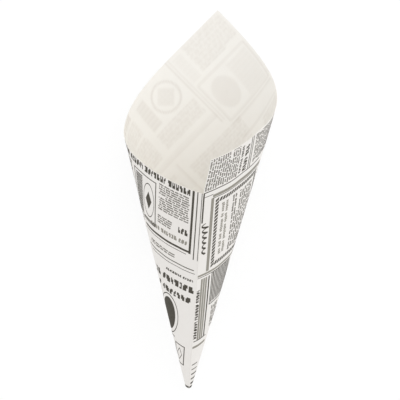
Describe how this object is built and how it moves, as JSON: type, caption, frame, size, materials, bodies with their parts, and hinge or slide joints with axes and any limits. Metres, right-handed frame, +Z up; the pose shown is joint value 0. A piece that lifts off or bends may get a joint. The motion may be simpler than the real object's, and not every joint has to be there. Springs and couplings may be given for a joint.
{
  "type": "paper cone bag",
  "caption": "Tall pointed paper cone rolled from one rectangular printed greaseproof sheet, glued along its front ridge, with a high corner at the back of the mouth.",
  "frame": {"origin": "on the surface that the cone lies on, under the middle of its overall length and width", "axes": "+Y from the tip towards the mouth along the back that the cone rests on, +Z up towards the front ridge, +X to the side of the panel whose free edge lies on top"},
  "size_m": [0.1096, 0.28, 0.1118],
  "materials": {
    "greaseproof_paper": "smooth off-white greaseproof paper, faintly translucent, soft sheen",
    "printing_ink": "matt warm black newspaper ink"
  },
  "bodies": {
    "root": {"paper_cone": "greaseproof_paper", "printed_ink": "printing_ink"}
  },
  "joints": []
}
